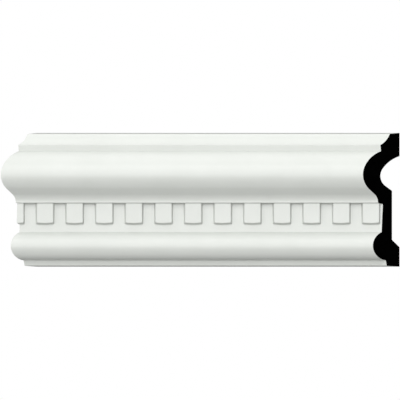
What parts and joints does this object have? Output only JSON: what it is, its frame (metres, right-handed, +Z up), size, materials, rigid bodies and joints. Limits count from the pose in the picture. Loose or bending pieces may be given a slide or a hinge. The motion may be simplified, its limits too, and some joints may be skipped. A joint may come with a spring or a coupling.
{
  "type": "dentil moulding",
  "caption": "Cast wall moulding with a cove, a large rounded cushion, a frieze of small square dentils and a bead, hollow at the back, its ends cut on parallel mitres.",
  "frame": {"origin": "middle of the lower flat land at the back, which rests on the wall, halfway between the two ends", "axes": "+X along the moulding to the right as seen from the front, +Y into the wall, +Z up"},
  "size_m": [0.4173, 0.0383, 0.14],
  "materials": {
    "primed_moulding": "factory primer, smooth, low sheen"
  },
  "bodies": {
    "root": {"dentil_moulding": "primed_moulding"}
  },
  "joints": []
}
